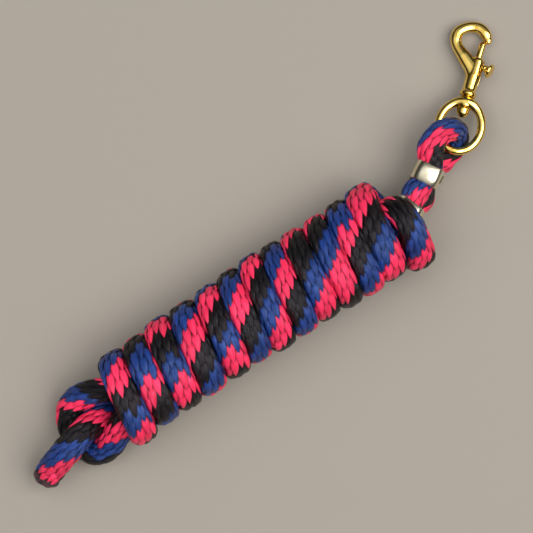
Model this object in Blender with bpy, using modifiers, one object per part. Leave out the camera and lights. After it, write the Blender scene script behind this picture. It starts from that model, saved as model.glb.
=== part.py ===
"""Lead rope: a solid-braid rope wound into a hank, with a bolt snap held in its eye loop by two crimp bands.

Metres, +Z up. The rope lies on z = 0, the hank runs along X with the snap at the +X end, and the
origin is on the surface under the middle of the whole object.

The snap is built in its own frame: local +X runs along the swivel axis from the ring to the hook,
local +Y to the hook's back and local +Z out of the hook's plane. SNAP_FRAME places it.
"""
import math

import bmesh
import bpy
from mathutils import Matrix, Vector

GAP = 0.0003  # between pieces that touch

# Rope: 16 mm when free, thinner where it is squeezed.
ROPE_RADIUS = 0.0072
CRIMPED_RADIUS = 0.0067
EYE_RADIUS = 0.0057
TUBE_STEP = 0.0055

# Hank
HANK_Y = -0.0229
HANK_X = (-0.1130, 0.0676)
HANK_WIDTH = 0.0535
HANK_HEIGHT = 0.048
HANK_CORNER = 0.020
HANK_END_ROUND = 0.006

# Crimp bands: centre, heading in plan and pitch in degrees
LOWER_CRIMP = ((0.0770, -0.0211, 0.0182), 20.0, 6.0)
UPPER_CRIMP = ((0.0986, -0.0092, 0.0152), 31.4, 0.0)
CRIMP_LENGTH = 0.011
CRIMP_WALL = 0.001
STRAND_RISE = 0.0069  # of each strand's middle from the band's middle

# Snap: its collar's place, heading and droop
SNAP_ORIGIN = (0.1408, 0.0153, 0.0109)
SNAP_HEADING = 40.5
SNAP_DROOP = 11.1

# Swivel eye, in the snap's frame
RING_MIDDLE = (-0.0173, -0.0009)
RING_HALF_LENGTH = 0.0142
RING_HALF_WIDTH = 0.0119
RING_WIRE_RADIUS = 0.00235
ROPE_CONTACT_DEG = 33.0  # round the ring from its bottom, where the rope loop bears
ROPE_CLEARANCE = 0.00155  # between rope and ring, for the ring to swing
LOOP_SPREAD = 0.0040  # of the loop's two strands along the ring's bar, each way
BOSS_RADIUS = 0.0044
BOSS_X = (-0.0066, -GAP)
PIN_CLEARANCE = 0.0003

# Snap body
BARREL_RADIUS = 0.0042
COLLAR_RADIUS = 0.0047
MOUTH_X = 0.0224
BORE_RADIUS = 0.0024
SLOT_X = (0.0074, 0.0212)
SLOT_WIDTH = 0.0034
STUD_TURN = 18.0  # of the thumb stud out of the hook's plane, in degrees
STUD_LEAN = 12.0  # back toward the ring
# Middle of the hook's bar from barrel to nose: x, y and radius
HOOK_BAR = (
    (0.0150, 0.0003, 0.0034),
    (0.0174, 0.0033, 0.0038),
    (0.0207, 0.0074, 0.0036),
    (0.0235, 0.0109, 0.0031),
    (0.0263, 0.0137, 0.0030),
    (0.0297, 0.0153, 0.0032),
    (0.0336, 0.0151, 0.0032),
    (0.0370, 0.0123, 0.0030),
    (0.0392, 0.0082, 0.0030),
    (0.0395, 0.0038, 0.0031),
    (0.0373, 0.0003, 0.0031),
    (0.0342, -0.0018, 0.0022),
    (0.0324, -0.0023, 0.0017),
)

# Swivel pin, bolt, stud and spring, in the snap's frame
PIN_SHANK_RADIUS = 0.0019
PIN_PLUG_TOP = 0.0042
PIN_HEAD_RADIUS = 0.0034
PIN_HEAD_END = -0.0133
BOLT_RADIUS = 0.00205
BOLT_X = (0.0166, 0.0315)
STUD_X = 0.0195
STUD_RADIUS = 0.0012
KNOB_RADIUS = 0.0032
KNOB_REACH = 0.0092
SPRING_RADIUS = 0.0016
SPRING_WIRE_RADIUS = 0.00028
SPRING_COILS = 5
SPRING_STEPS = 12  # points a coil

BRASS = ((0.80, 0.55, 0.16), 0.22, 1.0)
PLATED = ((0.86, 0.78, 0.55), 0.20, 1.0)
STEEL = ((0.62, 0.62, 0.60), 0.30, 1.0)
FIBRE = ((0.55, 0.05, 0.10), 0.75, 0.0)


def clear_scene():
    for old in list(bpy.data.objects):
        bpy.data.objects.remove(old, do_unlink=True)


def new_collection(name):
    collection = bpy.data.collections.new(name)
    bpy.context.scene.collection.children.link(collection)
    return collection


def material(name, finish):
    colour, roughness, metallic = finish
    made = bpy.data.materials.new(name)
    made.use_nodes = True
    shader = made.node_tree.nodes["Principled BSDF"]
    shader.inputs["Base Color"].default_value = (*colour, 1.0)
    shader.inputs["Roughness"].default_value = roughness
    shader.inputs["Metallic"].default_value = metallic
    return made


def plan_direction(heading, pitch=0.0):
    """Unit vector at a heading from +X, dropping by pitch, both in degrees."""
    h, p = math.radians(heading), math.radians(pitch)
    return Vector((math.cos(h) * math.cos(p), math.sin(h) * math.cos(p), -math.sin(p)))


def frame_at(origin, heading, pitch):
    """Matrix whose local X points along the heading, with local Y level."""
    along = plan_direction(heading, pitch)
    side = Vector((0, 0, 1)).cross(along).normalized()
    up = along.cross(side)
    turn = Matrix((along, side, up)).transposed().to_4x4()
    return Matrix.Translation(origin) @ turn


SNAP_FRAME = frame_at(SNAP_ORIGIN, SNAP_HEADING, SNAP_DROOP)


def smooth_route(points, step):
    """Points about a step apart on a smooth curve through the given ones (centripetal Catmull-Rom)."""
    points = [Vector(p) for p in points]
    ends = [2 * points[0] - points[1], *points, 2 * points[-1] - points[-2]]
    fine = []
    for a, b, c, d in zip(ends, ends[1:], ends[2:], ends[3:]):
        ta = 0.0
        tb = ta + (b - a).length ** 0.5
        tc = tb + (c - b).length ** 0.5
        td = tc + (d - c).length ** 0.5
        count = max(2, round((c - b).length / step * 8))
        for i in range(count):
            t = tb + (tc - tb) * i / count
            ab = a.lerp(b, (t - ta) / (tb - ta))
            bc = b.lerp(c, (t - tb) / (tc - tb))
            cd = c.lerp(d, (t - tc) / (td - tc))
            abc = ab.lerp(bc, (t - ta) / (tc - ta))
            bcd = bc.lerp(cd, (t - tb) / (td - tb))
            fine.append(abc.lerp(bcd, (t - tb) / (tc - tb)))
    fine.append(points[-1])
    reach = [0.0]
    for a, b in zip(fine, fine[1:]):
        reach.append(reach[-1] + (b - a).length)
    count = max(3, round(reach[-1] / step))
    route, j = [], 0
    for i in range(count + 1):
        wanted = reach[-1] * i / count
        while j < len(fine) - 2 and reach[j + 1] < wanted:
            j += 1
        share = (wanted - reach[j]) / (reach[j + 1] - reach[j])
        route.append(fine[j].lerp(fine[j + 1], min(share, 1.0)))
    return route


def tube(name, route, radius, finish, home, resolution=2, cyclic=False):
    """Round bar along a route; radius is a length, or a function of the point."""
    curve = bpy.data.curves.new(name, "CURVE")
    curve.dimensions = "3D"
    curve.bevel_depth = 1.0
    curve.bevel_resolution = resolution
    curve.use_fill_caps = not cyclic
    spline = curve.splines.new("POLY")
    spline.points.add(len(route) - 1)
    for point, place in zip(spline.points, route):
        point.co = (*place, 1.0)
        point.radius = radius(place) if callable(radius) else radius
    spline.use_cyclic_u = cyclic
    made = bpy.data.objects.new(name, curve)
    made.data.materials.append(finish)
    home.objects.link(made)
    return made


def flat_shape(name, outlines, half_thickness, finish, home, rounding=0.0):
    """Closed outlines in local XY, extruded both ways along local Z."""
    curve = bpy.data.curves.new(name, "CURVE")
    curve.dimensions = "2D"
    curve.fill_mode = "BOTH"
    curve.extrude = half_thickness - rounding
    curve.bevel_depth = rounding
    curve.bevel_resolution = 2
    for outline in outlines:
        spline = curve.splines.new("POLY")
        spline.points.add(len(outline) - 1)
        for point, (x, y) in zip(spline.points, outline):
            point.co = (x, y, 0.0, 1.0)
        spline.use_cyclic_u = True
    made = bpy.data.objects.new(name, curve)
    made.data.materials.append(finish)
    home.objects.link(made)
    return made


def rounded_rectangle(half_width, half_height, corner, steps):
    """Outline with quarter-circle corners of the given number of steps."""
    outline = []
    for quarter, (sx, sy) in enumerate(((1, 1), (-1, 1), (-1, -1), (1, -1))):
        for i in range(steps + 1):
            angle = math.radians(90 * (quarter + i / steps))
            x = sx * (half_width - corner) + corner * math.cos(angle)
            y = sy * (half_height - corner) + corner * math.sin(angle)
            outline.append((x, y))
    return outline


def turned(name, profile, finish, home, steps=24):
    """Profile of (x, radius) pairs, turned about local X. It runs from the top x down."""
    mesh = bpy.data.meshes.new(name)
    points = [(radius, 0.0, x) for x, radius in profile]
    edges = [(i, i + 1) for i in range(len(points) - 1)]
    mesh.from_pydata(points, edges, [])
    made = bpy.data.objects.new(name, mesh)
    made.data.materials.append(finish)
    home.objects.link(made)
    screw = made.modifiers.new("turn", "SCREW")
    screw.axis = "Z"
    screw.steps = screw.render_steps = steps
    screw.use_merge_vertices = True
    screw.merge_threshold = 0.00001
    return made


ALONG_X = Matrix.Rotation(math.radians(90), 4, "Y")  # local Z onto local X


def as_mesh(made, merge=0.00001):
    """The object as an evaluated mesh, welded, in the same place."""
    bpy.context.view_layer.update()
    evaluated = made.evaluated_get(bpy.context.evaluated_depsgraph_get())
    mesh = bpy.data.meshes.new_from_object(evaluated)
    shape = bmesh.new()
    shape.from_mesh(mesh)
    bmesh.ops.remove_doubles(shape, verts=shape.verts, dist=merge)
    bmesh.ops.recalc_face_normals(shape, faces=shape.faces)
    shape.to_mesh(mesh)
    shape.free()
    name, homes, place = made.name, list(made.users_collection), made.matrix_world.copy()
    bpy.data.objects.remove(made, do_unlink=True)
    again = bpy.data.objects.new(name, mesh)
    again.matrix_world = place
    for home in homes:
        home.objects.link(again)
    return again


def combine(target, other, operation):
    step = target.modifiers.new(f"{operation.lower()} {other.name}", "BOOLEAN")
    step.operation = operation
    step.object = other
    step.solver = "EXACT"


def as_cutter(made):
    made.hide_render = True
    made.display_type = "WIRE"
    return made


def trimmed(made, x, side, cutters):
    """The object with everything on one side of a plane across X taken off: side is 1 or -1."""
    made = as_mesh(made)
    bpy.ops.mesh.primitive_cube_add(size=1.0)
    block = as_cutter(bpy.context.active_object)
    block.name = f"{made.name}_trim"
    for old in list(block.users_collection):
        old.objects.unlink(block)
    cutters.objects.link(block)
    block.matrix_world = Matrix.Translation((x + side * 0.05, 0, 0)) @ Matrix.Diagonal((0.1, 0.3, 0.3, 1.0))
    combine(made, block, "DIFFERENCE")
    return made


def cylinder(name, radius, x_from, x_to, finish, home, steps=24):
    return turned(name, ((x_to, 0.0), (x_to, radius), (x_from, radius), (x_from, 0.0)), finish, home, steps)


# Rope

def strand(crimp, rise, along):
    """Point on a strand in a crimp band: rise above the band's middle, along from it."""
    centre, heading, pitch = crimp
    return frame_at(centre, heading, pitch) @ Vector((along, 0.0, rise))


def rope_contact():
    """Where the rope loop bears on the ring: the bar's middle, its direction and the way into the ring."""
    angle = math.radians(ROPE_CONTACT_DEG)
    x, y = RING_MIDDLE
    middle = Vector((x - RING_HALF_LENGTH * math.cos(angle), y + RING_HALF_WIDTH * math.sin(angle), 0))
    along = Vector((RING_HALF_LENGTH * math.sin(angle), RING_HALF_WIDTH * math.cos(angle), 0)).normalized()
    turn = SNAP_FRAME.to_3x3()
    along = turn @ along
    inward = (turn @ Vector((0, 0, 1))).cross(along)
    return SNAP_FRAME @ middle, along, -inward if inward.dot(plan_direction(SNAP_HEADING)) < 0 else inward


def make_eye_loop(fibre, home, cutters):
    """Dead end up through both bands, round the ring's bar and back through the bands to the hank."""
    centre, bar, inward = rope_contact()
    up = bar.cross(inward)
    if up.z < 0:
        up = -up
    around = RING_WIRE_RADIUS + ROPE_CLEARANCE + EYE_RADIUS
    half = CRIMP_LENGTH / 2
    route = [
        strand(LOWER_CRIMP, -STRAND_RISE, -half - 0.002),
        strand(LOWER_CRIMP, -STRAND_RISE, half),
        strand(UPPER_CRIMP, -STRAND_RISE, -half),
        strand(UPPER_CRIMP, -STRAND_RISE, half),
    ]
    for i in range(7):
        angle = math.radians(-90 + 30 * i)
        outward = math.cos(angle) * inward + math.sin(angle) * up
        route.append(centre + around * outward + LOOP_SPREAD * math.sin(angle) * bar)
    route += [
        Vector((0.1082, 0.0016, 0.0250)),
        strand(UPPER_CRIMP, STRAND_RISE, half),
        strand(UPPER_CRIMP, STRAND_RISE, -half),
        strand(LOWER_CRIMP, STRAND_RISE, half),
        strand(LOWER_CRIMP, STRAND_RISE, -half),
        Vector((HANK_X[1] - 0.004, -0.0262, 0.0256)),
    ]

    def radius(place):
        near = (Vector(place) - centre).length / (2 * around)
        return EYE_RADIUS + (CRIMPED_RADIUS - EYE_RADIUS) * min(1.0, max(0.0, near - 0.5) * 2)

    made = tube("rope_eye_loop", smooth_route(route, TUBE_STEP), radius, fibre, home)
    return trimmed(made, HANK_X[1] + GAP, -1, cutters)


def make_first_turn(fibre, home, cutters):
    """The first wrap leaves the core, crosses over the lower band and goes down round the hank's end."""
    route = (
        (HANK_X[1] - 0.004, -0.0065, 0.0290),
        (0.0740, -0.0085, 0.0378),
        (0.0776, -0.0160, 0.0418),
        (0.0782, -0.0250, 0.0420),
        (0.0778, -0.0335, 0.0388),
        (0.0768, -0.0405, 0.0318),
        (0.0755, -0.0443, 0.0235),
        (0.0727, -0.0425, 0.0165),
        (HANK_X[1] - 0.004, -0.0385, 0.0125),
    )
    made = tube("rope_first_turn", smooth_route(route, TUBE_STEP), ROPE_RADIUS, fibre, home)
    return trimmed(made, HANK_X[1] + GAP, -1, cutters)


def make_hank(fibre, home):
    """Outer shape of the wound turns, with a flat strip to lie on."""
    outline = rounded_rectangle(
        HANK_WIDTH / 2 - HANK_END_ROUND, HANK_HEIGHT / 2 - HANK_END_ROUND, HANK_CORNER - HANK_END_ROUND, 6
    )
    length = HANK_X[1] - HANK_X[0]
    made = flat_shape("rope_hank", [outline], length / 2, fibre, home, HANK_END_ROUND)
    made.matrix_world = (
        Matrix.Translation(((HANK_X[0] + HANK_X[1]) / 2, HANK_Y, HANK_HEIGHT / 2))
        @ Matrix.Rotation(math.radians(90), 4, "Z")
        @ Matrix.Rotation(math.radians(90), 4, "X")
    )
    return made


def make_bight(fibre, home, cutters):
    """The core's two strands leave the hank, spread and join in a loop that lies down at its far end."""
    inside = HANK_X[0] + 0.004
    route = (
        (inside, -0.0322, 0.0240),
        (-0.1178, -0.0369, 0.0222),
        (-0.1249, -0.0407, 0.0172),
        (-0.1320, -0.0425, 0.0120),
        (-0.1380, -0.0405, 0.0086),
        (-0.1408, -0.0347, 0.0077),
        (-0.1410, -0.0275, 0.0077),
        (-0.1394, -0.0204, 0.0084),
        (-0.1353, -0.0143, 0.0110),
        (-0.1287, -0.0115, 0.0160),
        (-0.1205, -0.0130, 0.0212),
        (inside, -0.0172, 0.0240),
    )
    made = tube("rope_bight", smooth_route(route, TUBE_STEP), ROPE_RADIUS, fibre, home)
    return trimmed(made, HANK_X[0] - GAP, 1, cutters)


def make_tail(fibre, home, cutters):
    """The tail leaves under the core, comes up through the bight and lies over its end."""
    route = (
        (HANK_X[0] + 0.004, -0.0258, 0.0080),
        (-0.1221, -0.0261, 0.0116),
        (-0.1310, -0.0271, 0.0186),
        (-0.1396, -0.0290, 0.0234),
        (-0.1485, -0.0319, 0.0230),
        (-0.1570, -0.0357, 0.0180),
        (-0.1640, -0.0392, 0.0128),
        (-0.1672, -0.0407, 0.0107),
    )
    made = tube("rope_tail", smooth_route(route, TUBE_STEP), ROPE_RADIUS - 0.0002, fibre, home)
    return trimmed(made, HANK_X[0] - GAP, 1, cutters)


def make_crimp(name, crimp, plated, home):
    """Rounded band of plated strip round both strands."""
    inner_half_width = CRIMPED_RADIUS + GAP
    inner_half_height = STRAND_RISE + CRIMPED_RADIUS + GAP
    corner = 0.0062
    inner = rounded_rectangle(inner_half_width, inner_half_height, corner, 5)
    outer = rounded_rectangle(
        inner_half_width + CRIMP_WALL, inner_half_height + CRIMP_WALL, corner + CRIMP_WALL, 5
    )
    made = flat_shape(name, [outer, inner], CRIMP_LENGTH / 2, plated, home)
    made.matrix_world = frame_at(*crimp) @ ALONG_X @ Matrix.Rotation(math.radians(90), 4, "Z")
    return made


# Snap

def make_swivel_eye(brass, home, cutters):
    """Round ring with a bored boss for the swivel pin."""
    count = 40
    path = [
        Vector((
            RING_MIDDLE[0] + RING_HALF_LENGTH * math.cos(2 * math.pi * i / count),
            RING_MIDDLE[1] + RING_HALF_WIDTH * math.sin(2 * math.pi * i / count),
            0.0,
        ))
        for i in range(count)
    ]
    ring = as_mesh(tube("swivel_eye", path, RING_WIRE_RADIUS, brass, home, 2, cyclic=True))
    boss = as_cutter(cylinder("eye_boss", BOSS_RADIUS, *BOSS_X, brass, cutters))
    hole = as_cutter(cylinder("eye_hole", PIN_SHANK_RADIUS + PIN_CLEARANCE, -0.02, 0.01, brass, cutters, 20))
    for made in (boss, hole):
        made.matrix_world = SNAP_FRAME @ ALONG_X
    ring.matrix_world = SNAP_FRAME
    combine(ring, boss, "UNION")
    combine(ring, hole, "DIFFERENCE")
    return ring


def make_snap_body(brass, home, cutters):
    """Barrel with its collar and hook, bored for the bolt and slotted for the thumb stud."""
    profile = (
        (MOUTH_X, 0.0),
        (MOUTH_X, 0.0032),
        (MOUTH_X - 0.0012, BARREL_RADIUS - 0.0003),
        (0.0120, BARREL_RADIUS),
        (0.0036, BARREL_RADIUS - 0.0004),
        (0.0026, COLLAR_RADIUS - 0.0006),
        (0.0019, COLLAR_RADIUS),
        (0.0007, COLLAR_RADIUS),
        (0.0, COLLAR_RADIUS - 0.0006),
        (0.0, 0.0),
    )
    body = turned("snap_body", profile, brass, home)
    body.matrix_world = SNAP_FRAME @ ALONG_X

    route = smooth_route([(x, y, 0.0) for x, y, _ in HOOK_BAR], 0.0025)

    def radius(place):
        nearest = sorted(HOOK_BAR, key=lambda bar: (Vector(bar[:2]) - Vector(place[:2])).length)[:2]
        near, far = ((Vector(bar[:2]) - Vector(place[:2])).length for bar in nearest)
        return (nearest[0][2] * far + nearest[1][2] * near) / (near + far)

    hook = as_cutter(as_mesh(tube("hook_bar", route, radius, brass, cutters, 3)))
    hook.matrix_world = SNAP_FRAME
    bore = as_cutter(cylinder("bolt_bore", BORE_RADIUS, -0.001, MOUTH_X + 0.002, brass, cutters, 20))
    bore.matrix_world = SNAP_FRAME @ ALONG_X

    bpy.ops.mesh.primitive_cube_add(size=1.0)
    slot = as_cutter(bpy.context.active_object)
    slot.name = "stud_slot"
    for old in list(slot.users_collection):
        old.objects.unlink(slot)
    cutters.objects.link(slot)
    size = Matrix.Diagonal((SLOT_X[1] - SLOT_X[0], 0.010, SLOT_WIDTH, 1.0))
    turn = Matrix.Rotation(math.radians(-STUD_TURN), 4, "X")
    slot.matrix_world = (
        SNAP_FRAME @ turn @ Matrix.Translation(((SLOT_X[0] + SLOT_X[1]) / 2, -0.0055, 0.0)) @ size
    )
    combine(body, hook, "UNION")
    combine(body, bore, "DIFFERENCE")
    combine(body, slot, "DIFFERENCE")
    return body


def make_swivel_pin(brass, home):
    """Headed pin through the eye's boss; its plug closes the bottom of the barrel."""
    flange = BOSS_X[0] - GAP
    profile = (
        (PIN_PLUG_TOP, 0.0),
        (PIN_PLUG_TOP, PIN_SHANK_RADIUS),
        (flange, PIN_SHANK_RADIUS),
        (flange, PIN_HEAD_RADIUS),
        (flange - 0.0016, PIN_HEAD_RADIUS),
        (flange - 0.0026, PIN_HEAD_RADIUS - 0.0006),
        (PIN_HEAD_END + 0.0016, PIN_HEAD_RADIUS - 0.0009),
        (PIN_HEAD_END + 0.0004, PIN_HEAD_RADIUS - 0.0018),
        (PIN_HEAD_END, 0.0),
    )
    pin = turned("swivel_pin", profile, brass, home)
    pin.matrix_world = SNAP_FRAME @ ALONG_X
    return pin


def stud_frame():
    """Local X along the stud, out of the barrel on the side away from the hook's back."""
    return (
        SNAP_FRAME
        @ Matrix.Rotation(math.radians(-STUD_TURN), 4, "X")
        @ Matrix.Translation((STUD_X, 0.0, 0.0))
        @ Matrix.Rotation(math.radians(-90 - STUD_LEAN), 4, "Z")
    )


def make_bolt(brass, home, cutters):
    """Round bolt with a slightly domed tip and a cross hole for the stud."""
    low, high = BOLT_X
    profile = (
        (high, 0.0),
        (high, BOLT_RADIUS - 0.0007),
        (high - 0.0004, BOLT_RADIUS - 0.0002),
        (high - 0.0010, BOLT_RADIUS),
        (low, BOLT_RADIUS),
        (low, 0.0),
    )
    bolt = turned("bolt", profile, brass, home)
    bolt.matrix_world = SNAP_FRAME @ ALONG_X
    hole = as_cutter(cylinder("stud_hole", STUD_RADIUS + GAP, -0.0007, 0.006, brass, cutters, 16))
    hole.matrix_world = stud_frame() @ ALONG_X
    combine(bolt, hole, "DIFFERENCE")
    return bolt


def make_thumb_stud(brass, home):
    """Stud fixed in the bolt, with a round thumb knob."""
    profile = (
        (KNOB_REACH, 0.0),
        (KNOB_REACH, KNOB_RADIUS - 0.0008),
        (KNOB_REACH - 0.0006, KNOB_RADIUS),
        (KNOB_REACH - 0.0014, KNOB_RADIUS),
        (KNOB_REACH - 0.0020, KNOB_RADIUS - 0.0008),
        (KNOB_REACH - 0.0024, STUD_RADIUS + 0.0003),
        (KNOB_REACH - 0.0034, STUD_RADIUS),
        (-0.0004, STUD_RADIUS),
        (-0.0004, 0.0),
    )
    stud = turned("thumb_stud", profile, brass, home)
    stud.matrix_world = stud_frame() @ ALONG_X
    return stud


def make_spring(steel, home):
    """Compression spring between the pin's plug and the bolt."""
    low = PIN_PLUG_TOP + GAP + SPRING_WIRE_RADIUS
    high = BOLT_X[0] - GAP - SPRING_WIRE_RADIUS
    count = SPRING_COILS * SPRING_STEPS
    route = [
        Vector((
            low + (high - low) * i / count,
            SPRING_RADIUS * math.cos(2 * math.pi * i / SPRING_STEPS),
            SPRING_RADIUS * math.sin(2 * math.pi * i / SPRING_STEPS),
        ))
        for i in range(count + 1)
    ]
    spring = tube("bolt_spring", route, SPRING_WIRE_RADIUS, steel, home, 1)
    spring.matrix_world = SNAP_FRAME
    return spring


def main():
    clear_scene()
    home = new_collection("lead_rope")
    cutters = new_collection("cutters")
    brass = material("brass", BRASS)
    plated = material("plated_brass", PLATED)
    steel = material("spring_steel", STEEL)
    fibre = material("rope_fibre", FIBRE)

    make_eye_loop(fibre, home, cutters)
    make_first_turn(fibre, home, cutters)
    make_hank(fibre, home)
    make_bight(fibre, home, cutters)
    make_tail(fibre, home, cutters)
    make_crimp("lower_crimp", LOWER_CRIMP, plated, home)
    make_crimp("upper_crimp", UPPER_CRIMP, plated, home)

    make_swivel_eye(brass, home, cutters)
    make_snap_body(brass, home, cutters)
    make_swivel_pin(brass, home)
    make_bolt(brass, home, cutters)
    make_thumb_stud(brass, home)
    make_spring(steel, home)


main()
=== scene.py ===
import math

import bmesh
import bpy
import numpy as np
from mathutils import Matrix, Vector


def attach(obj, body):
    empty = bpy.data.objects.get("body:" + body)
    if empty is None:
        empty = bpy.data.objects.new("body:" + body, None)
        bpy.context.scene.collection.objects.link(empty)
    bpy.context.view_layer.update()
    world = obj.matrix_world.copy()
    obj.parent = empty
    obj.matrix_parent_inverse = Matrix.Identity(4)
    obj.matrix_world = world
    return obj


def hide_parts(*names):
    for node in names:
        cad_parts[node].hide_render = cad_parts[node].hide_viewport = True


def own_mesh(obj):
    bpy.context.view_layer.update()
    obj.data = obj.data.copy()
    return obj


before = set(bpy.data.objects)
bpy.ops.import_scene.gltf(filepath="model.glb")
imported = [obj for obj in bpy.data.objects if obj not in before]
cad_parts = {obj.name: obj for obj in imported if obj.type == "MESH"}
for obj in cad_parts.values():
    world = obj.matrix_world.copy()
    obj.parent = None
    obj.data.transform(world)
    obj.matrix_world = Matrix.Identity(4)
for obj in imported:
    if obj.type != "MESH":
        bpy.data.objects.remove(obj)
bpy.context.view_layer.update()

random = np.random.default_rng(16)

# --------------------------------------------------
# Places and sizes, those of the CAD part unless a comment says otherwise
# --------------------------------------------------
LOWER_CRIMP = ((0.0770, -0.0211, 0.0182), 20.0, 6.0)
UPPER_CRIMP = ((0.0986, -0.0092, 0.0152), 31.4, 0.0)
CRIMP_LENGTH = 0.011
LOWER_CRIMP_LENGTH = 0.0118  # its edge shows a little more than the CAD part's does
# inside the band, 0.3 mm more than the CAD part has, and with sharper corners
CRIMP_HALF_WIDTH = 0.0073
CRIMP_HALF_HEIGHT = 0.0142
CRIMP_CORNER = 0.0034
CRIMP_WALL = 0.0009  # the CAD part has 0.0010
STRAND_RISE = 0.0069

SNAP_ORIGIN = (0.1408, 0.0153, 0.0109)
SNAP_HEADING = 40.5
SNAP_DROOP = 11.1
RING_MIDDLE = (-0.0173, -0.0009)
RING_HALF_LENGTH = 0.0142
RING_HALF_WIDTH = 0.0119
RING_WIRE_RADIUS = 0.00245  # the CAD part has 0.00235
ROPE_CONTACT_DEG = 33.0
LOOP_REACH = 0.0095  # of the rope's centreline round the ring's bar; the CAD part has 0.0096
LOOP_SPREAD = 0.0040
BOSS_X = (-0.0066, -0.0003)
HOLE_RADIUS = 0.0022
MOUTH_X = 0.0224
BORE_RADIUS = 0.0024
SLOT_X = (0.0074, 0.0212)
SLOT_Y = -0.0055
SLOT_DEPTH = 0.010
SLOT_WIDTH = 0.0033  # the CAD part has 0.0034
PIN_PLUG_TOP = 0.0042
PIN_SHANK_RADIUS = 0.0019
STUD_TURN = 18.0
STUD_LEAN = 16.0  # the CAD part has 12
STUD_X = 0.0195
KNOB_REACH = 0.0092
BOLT_X = (0.0166, 0.0315)
SPRING_RADIUS = 0.0016
SPRING_WIRE_RADIUS = 0.00028
SPRING_COILS = 5
GAP = 0.0003
CAST_VOXEL = 0.00019  # of the skin over the casting and the ring
# of the hook's bar, the least and the most; between them it is the half-width
HOOK_HALF_HEIGHTS = (0.0026, 0.0037)
# x, y and half-width along the hook's bar, a little fuller at its root and tip than the CAD part's
HOOK_BAR = (
    (0.0128, 0.0002, 0.0040),
    (0.0165, 0.0024, 0.0043),
    (0.0205, 0.0068, 0.0040),
    (0.0235, 0.0106, 0.0034),
    (0.0263, 0.0135, 0.0031),
    (0.0297, 0.0152, 0.0032),
    (0.0336, 0.0151, 0.0032),
    (0.0370, 0.0123, 0.0030),
    (0.0392, 0.0082, 0.0030),
    (0.0395, 0.0038, 0.0031),
    (0.0373, 0.0001, 0.0031),
    (0.0342, -0.0021, 0.0023),
    (0.0324, -0.0028, 0.0016),
)

# --------------------------------------------------
# The rope's sizes and colour bands, finer than the CAD part's
# --------------------------------------------------
ROUTE_STEP = 0.001
TUBE_DEPTH = 0.0011  # of the inner tube under the crest of the stitches
TUBE_SIDES = 16
TUBE_STEP = 0.0035
HIDDEN_TUBE_STEP = 0.010
COLUMNS = 12
COLUMN_TWIST = 33.5  # radians a metre
ROW = 0.0069  # along the rope, from one stitch of a column to the next
STITCH_HALF_LENGTH = 0.0052
STITCH_HALF_WIDTH = 0.00262  # where the rope's radius is FULL_RADIUS
FULL_RADIUS = 0.008
STITCH_BULGE = 0.00105  # of its crest over its flanks
BAND_PERIOD = 0.0355  # along the rope, for red, black and blue once each
# materials of the rope, by slot
RED_SLOT, BLACK_SLOT, INNER_SLOT, MELTED_SLOT, BLUE_SLOT = range(5)
MELTED_LENGTH = 0.0020
MELTED_SIDES = 40
# share of the radius, and how far past the rope's end
MELTED_RINGS = (
    (0.93, -0.0030),
    (1.00, -0.0020),
    (1.02, -0.0008),
    (1.00, 0.0004),
    (0.94, 0.0013),
    (0.80, 0.0020),
    (0.58, 0.0025),
    (0.30, 0.0026),
    (0.02, 0.0026),
)

# The hank's middle, across and up, and how far a turn's centreline stands over it
HANK_Y = -0.0229
HANK_Z = 0.0240
WRAP_HALF_HEIGHT = 0.0161
LOWEST_TURN = 0.0078  # of its centreline over the floor
TURN_RADIUS = 0.0079
# Where the turns pass over the hank's two edges, along X
TOP_EDGES = (
    0.0608, 0.0462, 0.0319, 0.0175, 0.0037, -0.0094, -0.0237, -0.0382, -0.0547, -0.0704, -0.0858, -0.1015,
)
LOW_EDGES = (
    0.0712, 0.0545, 0.0407, 0.0270, 0.0127, -0.0017, -0.0171,
    -0.0314, -0.0457, -0.0622, -0.0776, -0.0924, -0.1084,
)
# How far their centrelines reach there from the hank's middle, along Y
TOP_REACH = (0.0217, 0.0205, 0.0201, 0.0204, 0.0204, 0.0211, 0.0201, 0.0192, 0.0185, 0.0188, 0.0166, 0.0166)
LOW_REACH = (
    0.0215, 0.0178, 0.0187, 0.0182, 0.0174, 0.0178, 0.0184,
    0.0171, 0.0178, 0.0184, 0.0184, 0.0187, 0.0215,
)
# Share of a band period between the middle of each turn's top and the red band's middle
RED_BANDS = (0.41, 0.49, 0.20, 0.83, 0.62, 0.12, 0.60, 0.14, 0.55, 0.10, 0.58, 0.85, 0.26)
# The band phase seen from above at places off the turns: x, y, z, phase.
# Red is 0 to 1/3 of it, then comes black, then blue.
SEEN_BANDS = (
    (0.1130, 0.0060, 0.0245, 0.10),
    (0.1030, -0.0065, 0.0225, 0.52),
    (0.0935, -0.0120, 0.0225, 0.84),
    (0.0850, -0.0165, 0.0240, 1.18),
    (-0.1130, -0.0153, 0.0236, 0.42),
    (-0.1205, -0.0130, 0.0214, 0.74),
    (-0.1287, -0.0115, 0.0162, 1.07),
    (-0.1353, -0.0143, 0.0113, 1.40),
    (-0.1394, -0.0204, 0.0088, 1.60),
    (-0.1410, -0.0275, 0.0082, 1.62),
    (-0.1380, -0.0405, 0.0092, 1.64),
    (-0.1320, -0.0425, 0.0122, 1.80),
    (-0.1249, -0.0407, 0.0172, 2.00),
    (-0.1130, -0.0340, 0.0238, 2.33),
)
TAIL_BANDS = (
    (-0.1221, -0.0261, 0.0130, 0.00),
    (-0.1310, -0.0271, 0.0196, 0.29),
    (-0.1396, -0.0290, 0.0242, 0.58),
    (-0.1485, -0.0319, 0.0236, 0.88),
    (-0.1678, -0.0385, 0.0104, 1.24),
)


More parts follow.
